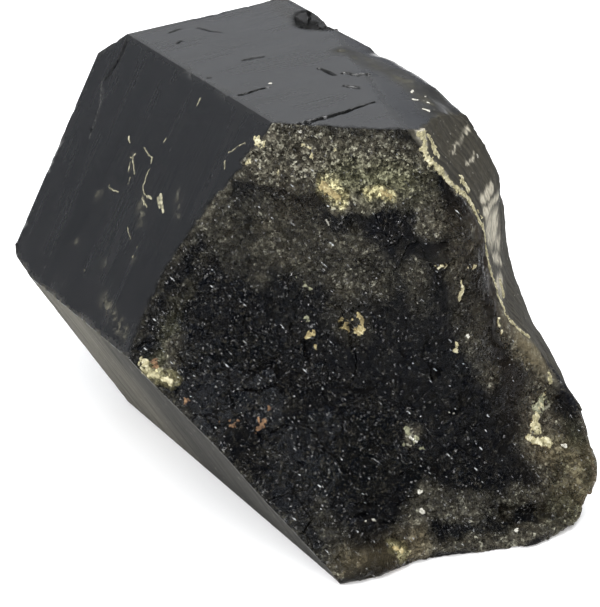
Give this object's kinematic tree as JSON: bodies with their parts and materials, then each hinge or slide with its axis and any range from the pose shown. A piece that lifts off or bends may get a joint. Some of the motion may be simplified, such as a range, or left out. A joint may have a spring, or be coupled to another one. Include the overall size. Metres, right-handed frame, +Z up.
{
  "type": "quartz crystal",
  "caption": "Dark smoky quartz crystal: a six-sided prism with a natural point at one end and a rough broken face at the other, lying on one side.",
  "frame": {"origin": "on the surface the crystal lies on, under the middle of its bounding box", "axes": "+Z up; +Y along the prism's long axis towards the natural point; -Y towards the broken end; +X across, to the right when seen from the broken end"},
  "size_m": [0.0792, 0.1296, 0.072],
  "materials": {
    "smoky_quartz": "smoky, near-black clear quartz: glossy prism sides, granular sparkling break"
  },
  "bodies": {
    "root": {"crystal": "smoky_quartz"}
  },
  "joints": []
}
